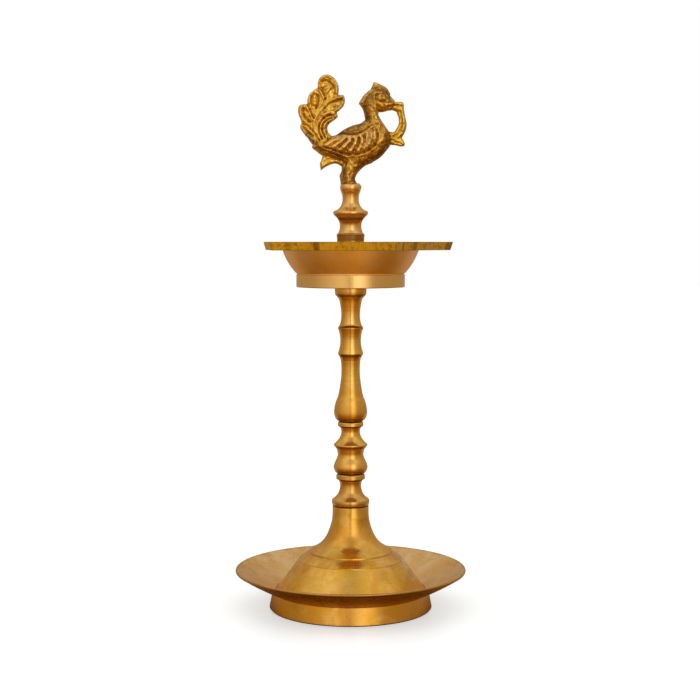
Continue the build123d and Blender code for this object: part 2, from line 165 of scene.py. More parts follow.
# =========================================================================================================
# Node helpers
# =========================================================================================================
class Graph:
    """Short ways to build a node tree."""

    def __init__(self, owner):
        owner.use_nodes = True
        self.tree = owner.node_tree
        self.tree.nodes.clear()

    def add(self, kind, **settings):
        node = self.tree.nodes.new(kind)
        for name, value in settings.items():
            setattr(node, name, value)
        return node

    def link(self, source, target):
        self.tree.links.new(source, target)

    def feed(self, socket, value):
        """Link an output, or set a plain value."""
        if isinstance(value, bpy.types.NodeSocket):
            self.link(value, socket)
        else:
            socket.default_value = value

    def math(self, operation, *values, clamp=False):
        node = self.add("ShaderNodeMath", operation=operation, use_clamp=clamp)
        for socket, value in zip(node.inputs, values):
            self.feed(socket, value)
        return node.outputs[0]

    def span(self, value, low, high, to_low=0.0, to_high=1.0):
        """Map low..high of a value onto to_low..to_high, clamped and smooth."""
        node = self.add("ShaderNodeMapRange", interpolation_type="SMOOTHSTEP")
        for socket, number in zip(node.inputs, (value, low, high, to_low, to_high)):
            self.feed(socket, number)
        return node.outputs[0]

    def mix(self, factor, first, second, blend="MIX"):
        """Mix two colours, which are the node's inputs 6 and 7 and its output 2."""
        node = self.add("ShaderNodeMix", data_type="RGBA", blend_type=blend)
        for socket, value in ((node.inputs[0], factor), (node.inputs[6], first), (node.inputs[7], second)):
            self.feed(socket, (*value, 1.0) if isinstance(value, tuple) else value)
        return node.outputs[2]

    def ramp(self, value, low, high, stops):
        """A colour ramp over low..high, its stops given as (value, colour)."""
        node = self.add("ShaderNodeValToRGB")
        elements = node.color_ramp.elements
        elements.remove(elements[-1])
        for i, (at, colour) in enumerate(stops):
            position = (at - low) / (high - low)
            stop = elements[0] if i == 0 else elements.new(position)
            stop.position = position
            stop.color = (*colour, 1)
        scale = self.add("ShaderNodeMapRange")
        scale.inputs["From Min"].default_value = low
        scale.inputs["From Max"].default_value = high
        self.link(value, scale.inputs[0])
        self.link(scale.outputs[0], node.inputs[0])
        return node.outputs[0]


class Nodes(Graph):
    """One material: a Principled shader and the texture space of the lamp."""

    def __init__(self, material):
        super().__init__(material)
        self.material = material
        self.shader = self.add("ShaderNodeBsdfPrincipled")
        self.output = self.add("ShaderNodeOutputMaterial")
        self.link(self.shader.outputs["BSDF"], self.output.inputs["Surface"])
        self.place = self.add("ShaderNodeTexCoord").outputs["Object"]
        axes = self.add("ShaderNodeSeparateXYZ")
        self.link(self.place, axes.inputs[0])
        self.x, self.y, self.z = axes.outputs

    def noise(self, scale, detail=3.0, rough=0.55, distortion=0.0):
        """A 3-D noise factor; scale is in features per metre."""
        node = self.add("ShaderNodeTexNoise", noise_dimensions="3D")
        self.link(self.place, node.inputs["Vector"])
        for name, value in (
            ("Scale", scale), ("Detail", detail), ("Roughness", rough), ("Distortion", distortion)
        ):
            node.inputs[name].default_value = value
        return node.outputs[0]

    def line_noise(self, along, scale, detail=2.0):
        """A 1-D noise factor, constant wherever the driving value is the same."""
        node = self.add("ShaderNodeTexNoise", noise_dimensions="1D")
        self.link(along, node.inputs["W"])
        for name, value in (("Scale", scale), ("Detail", detail), ("Roughness", 0.6)):
            node.inputs[name].default_value = value
        return node.outputs[0]

    def bump(self, height, distance, strength=1.0, after=None):
        node = self.add("ShaderNodeBump")
        node.inputs["Strength"].default_value = strength
        node.inputs["Distance"].default_value = distance
        self.link(height, node.inputs["Height"])
        if after is not None:
            self.link(after, node.inputs["Normal"])
        return node.outputs[0]

    def radius(self):
        """Distance from the lamp's axis."""
        squares = [self.math("MULTIPLY", side, side) for side in (self.x, self.y)]
        return self.math("SQRT", self.math("ADD", *squares))

    def angle(self):
        """Angle round the lamp's axis, in radians."""
        return self.math("ARCTAN2", self.y, self.x)

    def facing_up(self):
        """How far the surface faces up, from -1 to 1."""
        axes = self.add("ShaderNodeSeparateXYZ")
        self.link(self.add("ShaderNodeTexCoord").outputs["Normal"], axes.inputs[0])
        return axes.outputs[2]

    def attribute(self, name):
        return self.add("ShaderNodeAttribute", attribute_name=name).outputs["Fac"]

    def finish(self, colour, roughness, normal):
        self.feed(self.shader.inputs["Base Color"], colour)
        self.feed(self.shader.inputs["Roughness"], roughness)
        self.shader.inputs["Metallic"].default_value = 1.0
        self.link(normal, self.shader.inputs["Normal"])


# =========================================================================================================
# Materials
# =========================================================================================================
def add_pits(n, colour, amount):
    """Small dark pits all over."""
    return n.mix(n.span(n.noise(1500, 2.0, 0.7), 0.66, 0.78, 0.0, amount), colour, PATINA)


def add_dark_lines(n, colour, heights, reach, amount):
    """Darken the lines at these heights, in millimetres; at creases this is painted shade. It fades out over
    reach, in metres.
    """
    for height in heights:
        away = n.math("ABSOLUTE", n.math("SUBTRACT", n.z, height * MM))
        colour = n.mix(n.span(away, *reach, amount, 0.0), colour, SEAM_DARK_AND_CREASE_SHADE)
    return colour


def wear_dish(n, colour, cloud, rim_radius):
    """The dish: a pale upper face, freckles near the rim, and a ragged brown edge."""
    upper = n.span(n.facing_up(), 0.2, 0.5)
    colour = n.mix(n.math("MULTIPLY", upper, n.span(cloud, 0.3, 0.6, 0.95, 0.45)), colour, BRASS_WAN)
    near_rim = n.span(n.radius(), rim_radius - 0.016, rim_radius - 0.003)
    freckles = n.span(n.noise(150, 5.0, 0.7), 0.48, 0.60, 0.0, 0.55)
    colour = n.mix(n.math("MULTIPLY", near_rim, freckles), colour, RIM_FRECKLE)
    ragged = n.math("ADD", n.radius(), n.math("MULTIPLY", cloud, 0.003))
    edge = n.span(ragged, rim_radius, rim_radius + 0.0016)
    return n.mix(n.math("MULTIPLY", edge, 0.7), colour, BROWN_WEAR_AND_SHADE)


def turned_brass(name, tint=BRASS, stain=0.5, roughness=0.17, age=0.0, pink=0.10, seams=(), creases=(),
                 lacquer=0.0, shaded_below=0.0, worn_rim=0.0):
    """Brass off the lathe: fine rings, blotchy tarnish, a few pits, dark lines at the seams, and painted
    shade in the creases.

    stain is how strong the tarnish is and age how far it has spread. pink and lacquer are the strength of
    rubbed pink places and of flakes of old yellow lacquer. Below the height shaded_below the brass gets
    painted shade, a darker brown, and a dish whose rim has the radius worn_rim is worn as wear_dish says.
    """
    n = Nodes(bpy.data.materials.new(name))
    across = n.math("ADD", n.math("MULTIPLY", n.radius(), 0.8), n.z)
    fine = n.line_noise(across, 5200, 3.0)
    coarse = n.line_noise(across, 900, 2.0)
    blotch = n.noise(48, 5.0, 0.62, distortion=0.8)
    cloud = n.noise(110, 4.0, 0.6)
    tarnish = n.math("MULTIPLY", n.span(blotch, 0.44 - age, 0.62 - age), stain)
    colour = n.mix(tarnish, tint, BRASS_DEEP)
    colour = n.mix(n.span(cloud, 0.5, 0.68, 0.0, 0.45 * stain), colour, BRASS_OLIVE)
    colour = n.mix(n.span(coarse, 0.35, 0.75, 0.0, 0.30), colour, BRASS_DEEP)
    colour = n.mix(n.span(fine, 0.5, 0.8, 0.0, 0.16), colour, BRASS_LIGHT)
    rubbed = n.math("MULTIPLY", n.span(n.noise(75, 3.0), 0.40, 0.62), pink)
    colour = add_pits(n, n.mix(rubbed, colour, BRASS_PINK), 0.45)
    if lacquer:
        flakes = n.noise(62, 6.0, 0.7, distortion=0.4)
        colour = n.mix(n.span(flakes, 0.50, 0.54, 0.0, lacquer), colour, BRASS_YELLOW)
    # painted shade: darker brown below this height
    if shaded_below:
        colour = n.mix(n.span(n.z, shaded_below, shaded_below - 0.0002, 0.0, 0.35), colour, BROWN_WEAR_AND_SHADE)
    if worn_rim:
        colour = wear_dish(n, colour, cloud, worn_rim)
    colour = add_dark_lines(n, colour, seams, (0.0002, 0.0007), 0.9)
    # painted shade along the creases
    colour = add_dark_lines(n, colour, creases, (0.0003, 0.0012), 0.65)
    dull = n.span(blotch, 0.3, 0.75, roughness - 0.06, roughness + 0.08)
    rings = n.math("ADD", n.math("MULTIPLY", fine, 0.5), coarse)
    normal = n.bump(rings, 0.00002)
    normal = n.bump(n.noise(420, 3.0), 0.00003, 0.5, after=normal)
    n.finish(colour, n.math("ADD", n.math("MULTIPLY", fine, 0.10), dull), normal)
    return n


def add_residue_and_highlight(n):
    """Pinkish-white streaks along the right-hand edge of the bell's slope: dried polish, and a painted
    highlight.
    """
    runs = n.line_noise(n.math("MULTIPLY", n.angle(), 0.04), 700, 3.0)
    streaks = n.math("MULTIPLY", n.math("ADD", runs, n.noise(260, 4.0, 0.65, distortion=1.0)), 0.5)
    sideways = n.math("DIVIDE", n.x, n.radius())
    # painted highlight: the streaks hug the bell's right-hand edge
    where = n.math("MULTIPLY", n.span(sideways, 0.90, 0.97), n.span(n.z, *RESIDUE_AND_HIGHLIGHT_BOTTOM))
    where = n.math("MULTIPLY", where, n.span(n.z, *RESIDUE_AND_HIGHLIGHT_TOP))
    mask = n.math("MULTIPLY", n.span(streaks, 0.50, 0.58, 0.0, 0.8), where)
    for socket, value in (("Base Color", RESIDUE_AND_HIGHLIGHT), ("Metallic", 0.0)):
        target = n.shader.inputs[socket]
        if target.is_linked:
            n.link(n.mix(mask, target.links[0].from_socket, value), target)
        else:
            n.link(n.span(mask, 0.2, 0.9, 1.0, value), target)


def dress(obj, nodes):
    """Give an object one material."""
    obj.data.materials.clear()
    obj.data.materials.append(nodes.material)


def cast_brass(name):
    """The bird: rough-cast brass, bright where it is rubbed, dark in the hollows, with painted shade and dark
    patina along listed marks.
    """
    n = Nodes(bpy.data.materials.new(name))
    hollow = n.attribute("hollow")
    shade = n.attribute("shade")
    mottle = n.noise(420, 4.0, 0.65)
    broad = n.noise(110, 3.0, 0.6)
    # painted shade and patina along the marks
    dark = n.math("MULTIPLY", shade, n.span(mottle, 0.3, 0.65, 0.55, 1.0))
    dark = n.math("ADD", n.span(hollow, 0.02, 0.6, 0.0, 0.75), dark, clamp=True)
    dark = n.math("MULTIPLY", dark, n.span(mottle, 0.2, 0.6, 0.65, 1.0))
    gold = n.mix(n.span(broad, 0.4, 0.65), CAST_GOLD, CAST_BRONZE)
    gold = n.mix(n.span(n.x, *BIRD_TAIL), gold, CAST_TAIL)
    gold = n.mix(n.span(n.x, *BIRD_STRAND), gold, CAST_STRAND)
    on_wing = n.math("MULTIPLY", n.attribute("wing"), n.span(broad, 0.35, 0.6, 0.2, 0.6))
    gold = n.mix(on_wing, gold, CAST_WING)
    gold = n.mix(n.span(hollow, -0.60, -0.10, 0.5, 0.0), gold, CAST_RUBBED)
    colour = n.mix(dark, gold, CAST_PATINA_AND_SHADE)
    rough = n.span(dark, 0.0, 1.0, 0.20, 0.46)
    grain = n.math("ADD", n.noise(1700, 4.0, 0.6), n.math("MULTIPLY", n.noise(520, 3.0), 1.5))
    n.finish(colour, rough, n.bump(grain, 0.00009, 0.7))
    return n


def filed_side(n):
    """The side of the pan's flange, filed across by hand: its colour, and the height of its marks."""
    around = n.math("MULTIPLY", n.angle(), 0.05)
    files = n.line_noise(around, 2600, 3.0)
    cuts = n.line_noise(around, 95, 3.0)
    patches = n.noise(300, 3.0, 0.7)
    olive = n.mix(n.span(files, 0.35, 0.7), FILED_OLIVE, FILED_YELLOW)
    olive = n.mix(n.span(patches, 0.48, 0.66, 0.0, 0.6), olive, FILED_PATCH)
    olive = n.mix(n.span(cuts, 0.53, 0.66, 0.0, 0.75), olive, FILED_CUT)
    to_corner = n.math("ABSOLUTE", n.math("SUBTRACT", n.z, FLANGE_MIDDLE))
    olive = n.mix(n.span(to_corner, 0.0019, 0.0024, 0.0, 0.75), olive, FILED_CORNER)
    return olive, n.math("ADD", n.math("ADD", files, cuts), patches)


def pan_brass(name):
    """The oil pan: a satin pinkish bowl, a bright turned foot, a filed flange and a well browned by oil."""
    n = Nodes(bpy.data.materials.new(name))
    radius = n.radius()
    fine = n.line_noise(n.math("ADD", radius, n.z), 5200, 3.0)
    scratched = n.noise(170, 5.0, 0.65, distortion=0.6)
    bowl = n.mix(n.span(n.noise(60, 3.0, 0.5), 0.38, 0.66), BOWL_PINK, BOWL_GOLD)
    foot = n.mix(n.span(fine, 0.4, 0.75, 0.0, 0.5), BRASS_PALE, BRASS_LIGHT)
    top = n.mix(n.span(scratched, 0.4, 0.65), TOP_LIGHT, TOP_DARK)
    well = n.mix(n.span(scratched, 0.35, 0.6), WELL_LIGHT, WELL_DARK)
    side, marks = filed_side(n)
    # where each of them shows
    outside = n.span(radius, *BOWL_OUTSIDE)
    on_flange = n.math("MULTIPLY", n.span(n.z, *FLANGE_UNDERSIDE), outside)
    on_flange = n.math("MAXIMUM", on_flange, n.span(n.z, *FLANGE_CREST))
    on_side = n.math("MULTIPLY", n.math("MULTIPLY", on_flange, n.span(n.z, *FLANGE_SIDE_TOP)), outside)
    in_well = n.math("MULTIPLY", n.span(n.z, *WELL_FLOOR), n.span(radius, *WELL_WALL))
    in_well = n.math("MULTIPLY", in_well, n.span(n.facing_up(), -0.1, 0.1))
    colour = n.mix(n.span(n.z, *PAN_FOOT), bowl, foot)
    for where, finish in ((on_flange, top), (in_well, well), (on_side, side)):
        colour = n.mix(where, colour, finish)
    normal = n.bump(fine, 0.00002)
    normal = n.bump(n.math("MULTIPLY", marks, on_side), 0.00025, 0.7, after=normal)
    n.finish(add_pits(n, colour, 0.4), n.span(n.z, *PAN_FOOT, 0.46, 0.20), normal)
    return n


# =========================================================================================================
# The bird finial: a relief on both faces of a thick silhouette. Points are (x, z) in millimetres.
# =========================================================================================================
BIRD_STEP = 0.3
BIRD_LOW = np.array([-31.0, -8.7, 240.4])
BIRD_SIZE = np.array([64.2, 17.4, 65.4])
# the half thickness where there is no bird, and how fast it falls outside an outline
NO_BIRD = -9.0
OUTSIDE_FALL = 2.5


def smooth_line(points, closed=False, steps=7):
    """A Catmull-Rom line through the points. The same point twice in a row makes a corner."""
    points = np.array(points, float)
    if closed:
        points = np.vstack([points[-1], points, points[:2]])
    else:
        points = np.vstack([2 * points[0] - points[1], points, 2 * points[-1] - points[-2]])
    t = np.linspace(0, 1, steps, endpoint=False)[:, None]
    runs = []
    for a, b, c, d in zip(points, points[1:], points[2:], points[3:]):
        if np.allclose(b, c):
            continue
        curve = 2 * b + (c - a) * t + (2 * a - 5 * b + 4 * c - d) * t**2 + (3 * b - a - 3 * c + d) * t**3
        runs.append(curve / 2)
    runs.append(points[-2][None])
    return np.vstack(runs)


class Relief:
    """The bird's half thickness over a grid of x and z."""

    def __init__(self):
        count = np.round(BIRD_SIZE / BIRD_STEP).astype(int) + 1
        self.xs, self.ys, self.zs = (BIRD_LOW[k] + BIRD_STEP * np.arange(count[k]) for k in range(3))
        self.x, self.z = np.meshgrid(self.xs, self.zs, indexing="ij")
        self.height = np.full(self.x.shape, NO_BIRD)

    def distance(self, line):
        """Distance from every grid point to a line."""
        nearest = np.full(self.x.shape, 1e9)
        for (ax, az), (bx, bz) in zip(line, line[1:]):
            dx, dz = bx - ax, bz - az
            length = dx * dx + dz * dz
            if length < 1e-12:
                continue
            t = np.clip(((self.x - ax) * dx + (self.z - az) * dz) / length, 0, 1)
            nearest = np.minimum(nearest, (self.x - ax - t * dx) ** 2 + (self.z - az - t * dz) ** 2)
        return np.sqrt(nearest)

    def depth(self, outline):
        """Distance inside a closed outline, negative outside."""
        line = smooth_line(outline, closed=True)
        within = np.zeros(self.x.shape, bool)
        for (ax, az), (bx, bz) in zip(line, line[1:]):
            if az != bz:
                crosses = (self.z < az) != (self.z < bz)
                within ^= crosses & (self.x < (bx - ax) * (self.z - az) / (bz - az) + ax)
        return np.where(within, 1.0, -1.0) * self.distance(line)

    def lobe(self, outline, thickness, width, blend=0.8):
        """Add a rounded slab, full thickness from width inside its outline, blended with what is there."""
        depth = self.depth(outline)
        t = np.clip(depth / width, 0, 1)
        height = np.where(depth > 0, thickness * np.sqrt(1 - (1 - t) ** 2), OUTSIDE_FALL * depth)
        gap = np.clip(blend - np.abs(height - self.height), 0, None) / blend
        both = np.minimum(height, self.height) > 0
        self.height = np.maximum(height, self.height) + gap * gap * blend / 4 * both

    def raise_inside(self, outline, amount, width):
        """Raise what is inside an outline, by the full amount from width inside it."""
        self.height += amount * np.clip(self.depth(outline) / width, 0, 1)

    def stroke(self, points, amount, width, power=2):
        """Raise (or cut, if amount is negative) a soft line, fading out near the silhouette."""
        edge = np.clip(self.height / 1.2, 0, 1)
        self.height += amount * edge * np.exp(-((self.distance(smooth_line(points)) / width) ** power))

    def draw(self, strokes):
        """Make every stroke of a list of (lines, amount, width, power)."""
        for lines, amount, width, power in strokes:
            for line in lines:
                self.stroke(line, amount, width, power)

    def blurred(self, size):
        """The height, averaged over size grid steps each way."""
        soft = np.clip(self.height, 0, None)
        for axis in (0, 1) * 3:
            soft = sum(np.roll(soft, k, axis) for k in range(-size, size + 1)) / (2 * size + 1)
        return soft


BODY = [
    (-21.9, 264.1), (-17.8, 267.5), (-11.9, 269.7), (-8.0, 270.8), (-4.1, 273.5), (0.7, 275.8), (5.6, 277.2),
    (8.3, 279.1), (12.9, 281.0), (16.8, 279.1), (20.2, 274.7), (22.5, 270.9), (22.8, 265.8), (19.7, 261.2),
    (15.8, 257.3), (10.5, 254.7), (5.6, 252.9), (0.7, 253.5), (-4.1, 254.7), (-9.0, 257.2), (-15.6, 258.9),
    (-18.8, 261.0),
]
LEG = [
    (-4.6, 254.7), (-5.1, 250.6), (-6.2, 247.9), (-5.8, 244.8), (-5.4, 241.2), (-5.3, 238.0), (5.2, 238.0),
    (5.0, 241.6), (2.8, 244.8), (2.8, 247.2), (4.6, 250.1), (8.0, 253.2), (12.9, 255.9), (8.0, 260.3),
    (-0.2, 259.3),
]
NECK = [
    (8.3, 278.4), (7.8, 281.5), (6.8, 285.1), (4.5, 288.3), (4.5, 288.3), (7.8, 293.3), (12.2, 296.2),
    (16.3, 293.1), (17.8, 288.3), (16.1, 283.9), (15.9, 281.5), (19.7, 275.2), (21.9, 271.4), (17.8, 268.0),
    (8.5, 271.4),
]
HEAD = [
    (11.2, 295.8), (15.8, 297.9), (20.2, 296.0), (22.4, 292.6), (25.1, 289.3), (24.6, 286.1), (20.2, 284.0),
    (16.3, 283.5), (12.9, 285.4), (10.0, 290.2),
]
CREST = [
    (11.4, 295.5), (12.1, 297.9), (13.1, 300.4), (13.1, 300.4), (15.8, 299.4), (19.7, 297.5), (21.4, 295.5),
    (22.2, 293.1), (17.8, 292.1), (13.4, 292.6),
]
BEAK = [
    (22.2, 289.7), (25.1, 289.3), (29.2, 289.1), (30.0, 287.3), (29.8, 283.9), (27.0, 283.3), (23.6, 284.5),
    (20.7, 284.6),
]
GARLAND = [
    (27.3, 285.4), (29.8, 285.4), (30.8, 281.0), (31.7, 276.7), (31.0, 272.8), (29.0, 269.1), (29.0, 269.1),
    (30.6, 266.1), (30.3, 264.5), (28.7, 264.2), (25.6, 264.8), (21.7, 265.9), (21.7, 272.1), (23.9, 272.2),
    (25.3, 273.3), (27.1, 276.7), (27.1, 280.5), (26.1, 283.0),
]
UNDER_FEATHER = [
    (-15.6, 259.0), (-16.6, 256.4), (-17.4, 254.4), (-16.9, 250.7), (-16.9, 250.7), (-14.4, 252.5),
    (-11.0, 254.2), (-8.0, 254.5), (-4.6, 253.2), (-2.7, 256.9), (-7.1, 259.8), (-11.9, 260.5),
]
NUB = [(2.2, 243.2), (4.6, 242.6), (6.2, 241.8), (6.2, 241.8), (5.4, 239.9), (2.2, 239.9)]
TAIL = [
    (-22.2, 266.0), (-24.1, 268.7), (-26.1, 270.9), (-28.1, 273.8), (-28.5, 275.5), (-27.7, 277.5),
    (-27.7, 277.5), (-28.2, 279.1), (-29.2, 281.5), (-29.7, 284.4), (-29.0, 287.1), (-26.8, 287.9),
    (-24.4, 288.0), (-24.4, 288.0), (-24.3, 290.7), (-23.1, 293.6), (-20.7, 295.8), (-18.6, 297.1),
    (-18.6, 297.1), (-18.4, 300.4), (-16.8, 303.3), (-13.6, 304.5), (-10.2, 303.3), (-7.8, 300.4),
    (-6.7, 297.0), (-7.0, 293.0), (-7.0, 293.0), (-4.1, 292.9), (-3.3, 290.7), (-3.6, 287.8), (-5.1, 285.6),
    (-7.8, 283.2), (-7.8, 283.2), (-7.1, 280.8), (-7.1, 280.8), (-9.0, 279.1), (-11.7, 277.2),
    (-13.1, 275.0), (-12.7, 272.3), (-11.0, 270.3), (-8.0, 266.0), (-11.9, 261.7), (-17.8, 261.2),
]
WING = [
    (-15.3, 264.6), (-13.9, 267.0), (-11.0, 269.2), (-7.1, 270.8), (-4.1, 271.3), (0.7, 270.4), (4.6, 270.8),
    (8.5, 273.3), (11.0, 275.2), (12.7, 275.8), (14.8, 273.3), (15.1, 269.9), (14.4, 266.0), (12.4, 263.1),
    (8.5, 261.2), (4.6, 260.2), (-0.2, 259.8), (-5.1, 260.5), (-10.0, 261.7), (-13.9, 263.1),
]
# tail leaves: raised ribs and rims, then cut veins
TAIL_RIDGES = [
    [(-18.2, 297.9), (-17.3, 301.6), (-13.6, 303.6), (-10.0, 302.0), (-7.6, 297.9), (-7.9, 293.8)],
    [(-15.8, 297.0), (-15.9, 298.7), (-14.6, 299.8), (-13.0, 299.1), (-12.7, 297.5), (-13.9, 296.2)],
    [(-14.1, 291.9), (-13.6, 294.1), (-12.4, 295.5), (-11.5, 296.9)],
    [(-23.6, 288.3), (-23.5, 291.7), (-21.7, 294.3), (-18.8, 296.0), (-16.6, 294.1), (-15.4, 291.2),
     (-16.3, 287.8), (-18.5, 284.6), (-20.1, 282.0)],
    [(-27.3, 286.9), (-28.5, 284.4), (-28.0, 281.0), (-26.1, 278.4), (-23.1, 276.4)],
    [(-24.6, 286.1), (-23.1, 283.0), (-21.4, 279.1)],
    [(-27.5, 275.0), (-25.1, 271.4), (-21.4, 267.5)],
    [(-16.3, 267.0), (-19.3, 270.9), (-20.5, 275.2), (-20.2, 279.1), (-18.3, 282.5), (-15.3, 285.9),
     (-12.4, 288.8), (-9.0, 290.9), (-5.1, 291.9)],
    [(-4.5, 291.7), (-3.9, 289.2), (-5.8, 285.9), (-9.0, 283.9), (-12.9, 283.4), (-16.1, 281.5)],
    [(-16.8, 268.0), (-18.5, 272.3), (-18.5, 276.7), (-16.3, 280.3), (-12.9, 282.6), (-9.0, 282.4)],
    [(-15.1, 268.7), (-16.9, 272.8), (-16.7, 276.2), (-14.6, 279.1), (-11.7, 280.8), (-8.3, 281.0)],
    [(-13.6, 269.2), (-15.1, 273.3), (-14.7, 276.4), (-12.4, 278.6), (-9.5, 279.6)],
]
TAIL_GROOVES = [
    [(-17.5, 297.9), (-17.0, 300.1), (-14.9, 301.2), (-12.4, 300.6), (-10.2, 298.4), (-9.0, 296.0),
     (-9.1, 293.5)],
    [(-21.8, 286.8), (-22.1, 291.2), (-20.5, 293.6), (-18.2, 292.1), (-18.2, 288.8), (-19.7, 285.4)],
    [(-26.2, 285.4), (-26.6, 283.0), (-25.2, 280.1), (-22.4, 277.9)],
    [(-26.5, 275.1), (-24.1, 272.4), (-21.1, 269.9)],
    [(-15.0, 285.4), (-11.9, 288.3), (-8.5, 289.6), (-5.0, 290.7)],
    [(-16.1, 268.5), (-17.8, 272.6), (-17.6, 276.4), (-15.4, 279.7), (-12.2, 281.6), (-8.8, 281.7)],
    [(-14.4, 268.9), (-16.0, 273.0), (-15.7, 276.3), (-13.5, 278.8), (-10.7, 280.1)],
    [(-19.5, 297.0), (-16.6, 295.6), (-14.9, 293.2), (-14.2, 290.4)],
    [(-24.6, 288.6), (-22.6, 284.0), (-20.9, 279.8)],
    [(-27.4, 277.2), (-24.0, 275.2), (-21.0, 272.4)],
]
WING_FEATHERS = [
    [(-14.4, 264.8), (-12.2, 266.1), (-9.9, 267.6), (-7.4, 268.7)],
    [(-9.9, 263.4), (-8.0, 265.3), (-5.7, 267.0), (-3.7, 268.5), (-4.3, 269.8)],
    [(-6.5, 261.7), (-4.9, 262.7), (-3.2, 264.4), (-1.2, 266.4), (-0.3, 267.9), (-1.2, 269.0)],
    [(-0.6, 261.3), (1.1, 263.3), (2.5, 265.6), (3.0, 267.5), (2.2, 268.9)],
    [(4.2, 261.3), (5.6, 263.9), (6.4, 266.1), (6.4, 268.4), (5.6, 270.0)],
    [(7.8, 262.9), (9.0, 266.1), (9.5, 268.4), (9.3, 271.2)],
    [(10.0, 263.9), (11.0, 266.4), (11.5, 268.4), (11.8, 270.8)],
    [(13.6, 266.6), (13.9, 269.0), (13.7, 271.8)],
]
WING_VALLEYS = [
    [(-11.6, 264.2), (-9.0, 265.9), (-6.5, 267.7)],
    [(-7.6, 262.6), (-4.9, 265.3), (-2.6, 267.6)],
    [(-2.4, 261.4), (-0.9, 263.3), (0.8, 265.6), (1.1, 267.9)],
    [(2.3, 261.3), (3.9, 263.9), (4.7, 266.1), (4.5, 268.6)],
    [(6.1, 262.0), (7.0, 263.9), (7.8, 267.0), (7.6, 269.6)],
    [(9.0, 264.6), (10.1, 267.6), (10.4, 270.6)],
    [(11.7, 265.2), (12.6, 268.4), (12.6, 273.0)],
]
WING_EDGES = [
    [(-15.3, 263.5), (-11.3, 262.5), (-7.1, 261.0), (-2.9, 259.7), (1.4, 259.4), (5.6, 260.2), (9.8, 261.9),
     (13.5, 264.5), (15.2, 268.4), (14.6, 273.2)],
    [(-12.9, 268.3), (-8.0, 270.5), (-3.7, 271.2), (-0.3, 271.0), (3.0, 271.2), (5.9, 272.3), (10.4, 274.8)],
]
WING_SHOULDER = [
    [(-7.4, 269.8), (-3.6, 270.1), (0.6, 269.9), (4.2, 270.6), (7.0, 271.7), (9.8, 273.6), (12.4, 275.3)],
]
BODY_GROOVES = [
    [(-7.1, 270.4), (-1.2, 272.3), (3.6, 273.3), (8.0, 275.2), (11.0, 277.6)],
    [(-15.3, 262.1), (-9.0, 259.3), (-4.1, 257.3), (-2.0, 256.4)],
    [(-15.7, 254.9), (-12.9, 256.9), (-9.0, 257.3), (-4.6, 256.1)],
    [(-2.0, 256.1), (-3.2, 253.0), (-4.1, 249.6), (-4.6, 246.7)],
    [(12.4, 275.9), (15.3, 276.4), (18.3, 275.2)],
]
HEAD_RIDGES = [
    [(14.0, 288.6), (14.0, 285.4), (14.5, 281.4), (15.6, 278.1), (16.5, 275.6)],
    [(5.7, 288.8), (7.2, 291.1), (9.4, 293.4), (11.8, 295.4)],
    [(23.0, 287.4), (25.0, 288.4), (27.4, 288.3), (29.4, 287.9)],
]
HEAD_GROOVES = [
    [(7.4, 288.0), (8.8, 291.2), (10.8, 293.6), (13.0, 295.0), (16.6, 295.6), (19.8, 294.3), (21.8, 292.4)],
    [(14.2, 290.3), (14.5, 292.4), (16.4, 293.5), (18.8, 293.3), (20.4, 291.6)],
    [(14.8, 289.9), (16.6, 289.1), (18.6, 289.0), (20.3, 288.2), (22.2, 288.6)],
    [(21.4, 286.0), (23.2, 286.9), (25.6, 287.1), (28.6, 286.7)],
]
GARLAND_RIDGES = [[(29.2, 283.4), (29.9, 279.6), (29.9, 275.7), (28.5, 271.8), (26.0, 268.9), (23.6, 268.7)]]
GARLAND_GROOVES = [
    [(28.1, 283.4), (28.6, 279.6), (28.4, 275.7), (26.8, 271.8), (24.1, 269.9)],
    [(25.1, 266.5), (27.5, 266.0), (29.7, 264.8)],
]
LEAF_SWELL = [[(-20.3, 292.1), (-20.1, 288.3)]]
CURL_BEAD = [[(-14.5, 298.1), (-14.3, 298.0)]]
EYEBALL = [[(16.6, 291.2), (17.8, 291.2)]]
PUPIL = [[(17.4, 291.9), (17.5, 291.9)]]
# the lobes that cover the tail's root: (outline, half thickness, width of the rounding, blend)
BODY_LOBES = [
    (BODY, 6.6, 9.5, 2.5), (LEG, 4.9, 4.6, 2.0), (NECK, 4.9, 4.4, 2.0), (HEAD, 4.8, 5.0, 1.5),
    (CREST, 1.9, 1.4, 1.0), (BEAK, 2.3, 1.9, 1.0), (GARLAND, 2.0, 1.7, 1.0), (UNDER_FEATHER, 2.4, 1.5, 1.2),
    (NUB, 3.4, 1.5, 0.8),
]
# the chasing, in the order that it is done: (lines, raised or cut by, width, power)
TAIL_STROKES = [
    (TAIL_RIDGES, 0.75, 0.62, 2), (LEAF_SWELL, 0.9, 1.3, 2), (CURL_BEAD, 0.9, 0.8, 2),
    (TAIL_GROOVES, -0.8, 0.45, 2),
]
BODY_STROKES = [
    (WING_SHOULDER, 0.6, 0.7, 2), (WING_FEATHERS, 1.0, 1.3, 3), (WING_VALLEYS, -0.5, 0.5, 2),
    (WING_EDGES, -0.9, 0.6, 2), (BODY_GROOVES, -0.5, 0.5, 2), (HEAD_RIDGES, 0.6, 0.7, 2),
    (HEAD_GROOVES, -0.6, 0.45, 2), (EYEBALL, 0.6, 1.4, 2), (PUPIL, -0.6, 0.45, 2),
    (GARLAND_RIDGES, 0.4, 0.6, 2), (GARLAND_GROOVES, -0.5, 0.45, 2),
]
